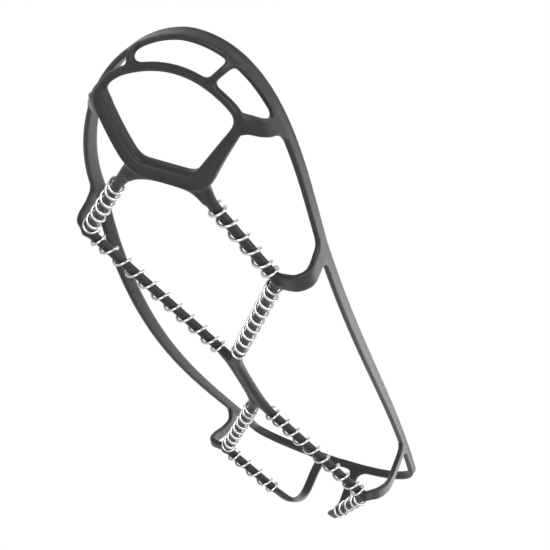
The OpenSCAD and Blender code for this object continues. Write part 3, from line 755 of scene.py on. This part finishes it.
# %% Heel risers
RISER_X = 11.0
RISER_W, RISER_ROOT, RISER_TIP = CORD_D + 0.6, (0.1, 0.1), (4.0, 4.0)
RISER_OVERLAP, RISER_LEAD, RISER_REACH = 3.0, 2.0, 12.0
RISER_LIFT, RISER_KNEE, RISER_DROP = 1.5, 13.0, 8.0
RISER_DRAW, RISER_AHEAD = 0.6, 2.0
RISER_U = 2 + math.acos(RISER_X / (HEEL_WIDTH / 2)) / (math.pi / 2)


def heel_riser(side):
    end = heel_edge[side]
    onward = unit(end - heel[side])
    across = np.array([-onward[1], onward[0], 0]) * side
    top, foot, run, _, height = rim_root(RISER_U, side)
    low = end + onward * RISER_REACH
    knee = np.array([mix(low[0], foot[0], RISER_DRAW), foot[1] - RISER_AHEAD, NET_Z + RISER_KNEE])
    stations = [
        (end - onward * RISER_OVERLAP, across),
        (end + onward * RISER_LEAD, across),
        (low + UP * RISER_LIFT, across),
        (knee, unit(run + across)),
        (foot - UP * RISER_DROP, run),
        (foot, run),
        (top, run),
    ]
    web("heel_riser", stations, RISER_W, RISER_ROOT, RISER_TIP, (0.0, height / 2), RISER_U, side)


for side in SIDES:
    heel_riser(side)
print(len(limbs), "limbs in all")

# %% [markdown]
# ## One moulding
# In the mould all limbs are one piece, with soft fillets where they meet. A Boolean union would join
# them with sharp seams. So the limbs are joined and a voxel remesh melts them together. Swelling the
# skin, remeshing and shrinking it again fills the sharp inner corners as a mould maker's fillets do.
# A little smoothing takes the voxel marks away.

# %% Melt the limbs together
VOXEL = 0.36 * MM
FILLET = 0.7 * MM
MOST_TRIANGLES = 190000
SMOOTH_SHARE, FIRST_SMOOTHING, LAST_SMOOTHING = 0.5, 8, 3
bpy.ops.object.select_all(action="DESELECT")
for limb in limbs:
    limb.select_set(True)
bpy.context.view_layer.objects.active = limbs[0]
bpy.ops.object.join()
sling = bpy.context.object
sling.name = "sling"
finish_with(sling, "REMESH", mode="VOXEL", voxel_size=VOXEL)
for swell in (FILLET, -FILLET):
    finish_with(sling, "DISPLACE", strength=swell, mid_level=0)
    finish_with(sling, "REMESH", mode="VOXEL", voxel_size=VOXEL)
finish_with(sling, "SMOOTH", factor=SMOOTH_SHARE, iterations=FIRST_SMOOTHING)
finish_with(sling, "DECIMATE", ratio=min(1.0, MOST_TRIANGLES / (2 * len(sling.data.polygons))))
finish_with(sling, "SMOOTH", factor=SMOOTH_SHARE, iterations=LAST_SMOOTHING)
bpy.ops.object.shade_smooth()
print("sling:", len(sling.data.polygons), "faces")

# %% [markdown]
# ## The coils
# Each coil is one length of drawn wire, wound open along its cord with a close turn at each end. The
# Screw modifier could wind it, but with one pitch only. Here the helix follows the cord's own axis,
# from a corner to the stub or leg that stops it. A curve with a round bevel is the wire, and it is
# made a mesh so that its place lies in its points.

# %% Line of a coil
WIRE_D, COIL_OD = 1.2, 7.4
COIL_R = (COIL_OD - WIRE_D) / 2
PITCH, END_PITCH = 7.7, 2.8
CLOSE_TURNS = 2
END_GAP = 0.6
START_ANGLE = math.radians(65)
EXTRA_TURN = 50 / 360
POINTS_PER_TURN = 28


def coil_line(start, end):
    """Middle line of the wire, wound from start to end with a close turn at each end."""
    along = unit(end - start)
    across = np.cross(along, UP)
    run = np.linalg.norm(end - start) - WIRE_D - 2 * END_GAP
    turns = CLOSE_TURNS + max(1, round((run - CLOSE_TURNS * END_PITCH) / PITCH)) + EXTRA_TURN
    pitch = (run - CLOSE_TURNS * END_PITCH) / (turns - CLOSE_TURNS)
    line = []
    for turn in np.linspace(0, turns, round(turns * POINTS_PER_TURN)):
        body = min(max(turn - 1, 0), turns - CLOSE_TURNS)
        angle = START_ANGLE + 2 * math.pi * turn
        place = start + along * (END_GAP + WIRE_D / 2 + body * pitch + (turn - body) * END_PITCH)
        line.append(place + (across * math.cos(angle) + UP * math.sin(angle)) * COIL_R)
    return np.array(line), turns


print("coils", COIL_OD, "mm across, of", WIRE_D, "mm wire")

# %% Wind the coils
WIRE_SMOOTHNESS = 4


def wind_coil(name, start, end):
    line, turns = coil_line(start, end)
    wire = bpy.data.curves.new(name, "CURVE")
    wire.dimensions = "3D"
    wire.bevel_depth = WIRE_D / 2 * MM
    wire.bevel_resolution = WIRE_SMOOTHNESS
    wire.use_fill_caps = True
    spline = wire.splines.new("POLY")
    spline.points.add(len(line) - 1)
    spline.points.foreach_set("co", np.column_stack([line * MM, np.ones(len(line))]).ravel())
    coil = bpy.data.objects.new(name, wire)
    bpy.context.collection.objects.link(coil)
    bpy.ops.object.select_all(action="DESELECT")
    coil.select_set(True)
    bpy.context.view_layer.objects.active = coil
    bpy.ops.object.convert(target="MESH")
    bpy.ops.object.shade_smooth()
    print(name, round(turns, 1), "turns,", len(coil.data.polygons), "faces")
    return coil


def coil_runs(side):
    """Where each coil on a side starts and ends."""
    ball_corner, heel_corner, knob_r = ball[side], heel[side], CORNER_D / 2
    return {
        "forefoot_front_": (leg_end[side], toward(ball_corner, leg_end[side], knob_r)),
        "forefoot_rear_": (
            toward(ball_corner, bridge_front, knob_r),
            toward(bridge_front, ball_corner, STUB),
        ),
        "heel_front_": (
            toward(bridge_rear, heel_corner, STUB),
            toward(heel_corner, bridge_rear, knob_r),
        ),
        "heel_rear_": (toward(heel_corner, heel_edge[side], knob_r), heel_edge[side]),
    }


coils = {}
for side, word in SIDES.items():
    for place, (start, end) in coil_runs(side).items():
        coils[place + word] = wind_coil("coil_wire_" + place + word, start, end)

# %% [markdown]
# ## Materials
# There are two real materials: moulded rubber and drawn steel wire. Each starts from its usual numbers
# and takes its patterns from sizes in millimetres. Nodes could be placed by hand in the shader editor.
# One small function that adds a node with its values and links keeps each material short to read.

# %% Colour and node helpers


def linear(code):
    """An sRGB hex colour as the linear colour that shaders take."""
    parts = [int(code[i : i + 2], 16) / 255 for i in (1, 3, 5)]
    return (*[p / 12.92 if p <= 0.04045 else ((p + 0.055) / 1.055) ** 2.4 for p in parts], 1.0)


def add(tree, kind, values=None, links=None, **settings):
    """Adds one node: settings are its properties, values its free sockets, links its fed sockets."""
    node = tree.nodes.new("ShaderNode" + kind)
    for key, value in settings.items():
        setattr(node, key, value)
    for key, value in (values or {}).items():
        node.inputs[key].default_value = value
    for key, source in (links or {}).items():
        tree.links.new(source, node.inputs[key])
    return node


def new_material(name):
    """An empty node material with its output."""
    material = bpy.data.materials.new(name)
    material.use_nodes = True
    material.node_tree.nodes.clear()
    return material, material.node_tree, add(material.node_tree, "OutputMaterial")


def per_mm(size):
    """Texture scale at which one feature is this many millimetres."""
    return 1 / (size * MM)


print("mid grey is", round(linear("#808080")[0], 3), "in linear colour")

# %% [markdown]
# ## Moulded rubber
# The sling is compression-moulded rubber, coloured through with carbon black. One flat dark colour
# would look like plastic. So the tint drifts slowly over the piece, the sheen changes in small dusty
# specks, and the sharpest edges are a little paler.

# %% Moulded rubber
BLOOM_SIZE, DUST_SIZE, GRAIN_SIZE = 22, 1.6, 1.2
GRAIN_DEPTH = 0.012


# To the eye: near black, with a dull soft sheen and no hard highlight. The mould's grain is finer than
# a pixel here, so it is drawn coarser than the real one.
def moulded_rubber():
    material, tree, out = new_material("moulded_rubber")
    place = add(tree, "TexCoord").outputs["Object"]
    edges = add(tree, "NewGeometry").outputs["Pointiness"]
    bloom = add(tree, "TexNoise", {"Scale": per_mm(BLOOM_SIZE), "Detail": 3.0}, {"Vector": place})
    dust_look = {"Scale": per_mm(DUST_SIZE), "Detail": 4.0, "Roughness": 0.6}
    dust = add(tree, "TexNoise", dust_look, {"Vector": place})
    grain = add(tree, "TexNoise", {"Scale": per_mm(GRAIN_SIZE), "Detail": 2.0}, {"Vector": place})
    tints = {"A": linear("#17171a"), "B": linear("#212125")}
    tint = add(tree, "Mix", tints, {"Factor": bloom.outputs["Fac"]}, data_type="RGBA")
    # Pointiness mixes up to 0.3 of a light grey into the sharpest edges.
    paler_edge = add(tree, "MapRange", {"From Min": 0.52, "From Max": 0.62, "To Max": 0.3}, {"Value": edges})
    paler_links = {"Factor": paler_edge.outputs["Result"], "A": tint.outputs["Result"]}
    paled = add(tree, "Mix", {"B": linear("#77777b")}, paler_links, data_type="RGBA")
    rough = add(tree, "MapRange", {"To Min": 0.42, "To Max": 0.52}, {"Value": dust.outputs["Fac"]})
    relief = {"Strength": 0.2, "Distance": GRAIN_DEPTH * MM}
    bump = add(tree, "Bump", relief, {"Height": grain.outputs["Fac"]})
    shader = add(
        tree,
        "BsdfPrincipled",
        {"Specular IOR Level": 0.26, "IOR": 1.5, "Sheen Weight": 0.1, "Sheen Roughness": 0.5},
        {
            "Base Color": paled.outputs["Result"],
            "Roughness": rough.outputs["Result"],
            "Normal": bump.outputs["Normal"],
        },
    )
    tree.links.new(shader.outputs["BSDF"], out.inputs["Surface"])
    return material


rubber = moulded_rubber()
print(rubber.name, "with", len(rubber.node_tree.nodes), "nodes")

# %% [markdown]
# ## Drawn steel wire
# The coils are spring wire, drawn bright through a die and left bare. A plain metal with one roughness
# would look like chrome. Fine draw marks break up its mirror, and faint stains shift its silver a
# little along the wire.

# %% Drawn steel wire
MARK_SIZE, STAIN_SIZE = 0.8, 6
MARK_DEPTH = 0.02


# To the eye: a clean silver with short soft highlights. The draw marks are finer than a pixel here, so
# they are drawn coarser than the real ones.
def drawn_steel():
    material, tree, out = new_material("drawn_steel_wire")
    place = add(tree, "TexCoord").outputs["Object"]
    marks = add(tree, "TexNoise", {"Scale": per_mm(MARK_SIZE), "Detail": 4.0}, {"Vector": place})
    stain = add(tree, "TexNoise", {"Scale": per_mm(STAIN_SIZE), "Detail": 2.0}, {"Vector": place})
    tints = {"A": linear("#a3a5a9"), "B": linear("#d2d4d6")}
    tint = add(tree, "Mix", tints, {"Factor": stain.outputs["Fac"]}, data_type="RGBA")
    rough = add(tree, "MapRange", {"To Min": 0.16, "To Max": 0.34}, {"Value": marks.outputs["Fac"]})
    relief = {"Strength": 0.15, "Distance": MARK_DEPTH * MM}
    bump = add(tree, "Bump", relief, {"Height": marks.outputs["Fac"]})
    shader = add(
        tree,
        "BsdfPrincipled",
        {"Metallic": 1.0},
        {
            "Base Color": tint.outputs["Result"],
            "Roughness": rough.outputs["Result"],
            "Normal": bump.outputs["Normal"],
        },
    )
    tree.links.new(shader.outputs["BSDF"], out.inputs["Surface"])
    return material


steel = drawn_steel()
print(steel.name, "with", len(steel.node_tree.nodes), "nodes")

# %% [markdown]
# ## Ties to the frame
# The rubber is one body and each coil is another, so each piece rides on its own body and takes the
# place of the solids that it dresses. A parent or a constraint could carry it, and the frame's own
# call gives each piece a parent: an empty named after its body.

# %% Put the materials on and tie the pieces
sling.data.materials.clear()
sling.data.materials.append(rubber)
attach(sling, "sling")
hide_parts(*[name for name in frame["nodes"] if not name.startswith("coil_")])
for place, coil in coils.items():
    coil.data.materials.clear()
    coil.data.materials.append(steel)
    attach(coil, place + "_coil")
    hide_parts("coil_" + place)
print("sling and", len(coils), "coils tied to their bodies")

# %% [markdown]
# ## The floor
# The part stands on a pale floor, yet the picture looks up from below it. The floor could be left out
# of that view by hand. Instead it is one-sided: its upper face takes the part's shadow, and its lower
# face lets everything through.

# %% Floor
FLOOR_SIZE = 20.0
FLOOR_DROP = 0.4 * MM
bpy.ops.object.select_all(action="DESELECT")
bpy.ops.mesh.primitive_plane_add(size=FLOOR_SIZE, location=(0, 0, -FLOOR_DROP))
floor = bpy.context.object
floor.name = "floor"
bpy.ops.object.transform_apply(location=True)
material, tree, out = new_material("pale_floor")
path = add(tree, "LightPath").outputs
under = add(tree, "NewGeometry").outputs["Backfacing"]
passed = add(tree, "Math", None, {0: under, 1: path["Is Shadow Ray"]}, operation="MAXIMUM")
passed = add(tree, "Math", None, {0: passed.outputs[0], 1: path["Is Glossy Ray"]}, operation="MAXIMUM")
matt = add(tree, "BsdfDiffuse", {"Color": linear("#f2f2f2")})
clear = add(tree, "BsdfTransparent")
both = add(tree, "MixShader", None, {0: passed.outputs[0], 1: matt.outputs[0], 2: clear.outputs[0]})
tree.links.new(both.outputs[0], out.inputs["Surface"])
floor.data.materials.append(material)
print("floor", FLOOR_SIZE, "m wide")

# %% [markdown]
# ## World and lights
# The background is white to the eye and in reflections, and a softer white as light. A studio would
# have large paper walls for that. A world that asks which ray it meets does the same without walls.
# Three square lamps, behind, beside and below, shape the bars and brighten the wires.

# %% World
AMBIENT, REFLECTED = 0.65, 1.0
world = bpy.data.worlds.new("studio")
bpy.context.scene.world = world
world.use_nodes = True
tree = world.node_tree
tree.nodes.clear()
path = add(tree, "LightPath").outputs
ambient = add(
    tree, "MapRange", {"To Min": AMBIENT, "To Max": REFLECTED}, {"Value": path["Is Glossy Ray"]}
).outputs["Result"]
level = add(tree, "Math", None, {0: path["Is Camera Ray"], 1: ambient}, operation="MAXIMUM")
sky = add(tree, "Background", {"Color": (1, 1, 1, 1)}, {"Strength": level.outputs[0]})
tree.links.new(sky.outputs[0], add(tree, "OutputWorld").inputs["Surface"])
print("world: light", AMBIENT, "and reflections", REFLECTED)

# %% Lights


def soft_box(name, place, watts, size):
    """A square lamp that faces the part."""
    place = Vector(place)
    facing = (-place).to_track_quat("-Z", "Y").to_euler()
    bpy.ops.object.light_add(type="AREA", location=place, rotation=facing)
    lamp = bpy.context.object
    lamp.name = name
    lamp.data.energy = watts
    lamp.data.size = size
    print("lamp", name, "of", watts, "W")


soft_box("back", (0.42, 0.95, 0.5), watts=4.5, size=0.7)
soft_box("side", (0.9, -0.2, 0.35), watts=5.0, size=0.5)
soft_box("under", (0.35, -0.75, -0.45), watts=7.5, size=0.6)
bpy.context.scene.view_settings.view_transform = "Standard"
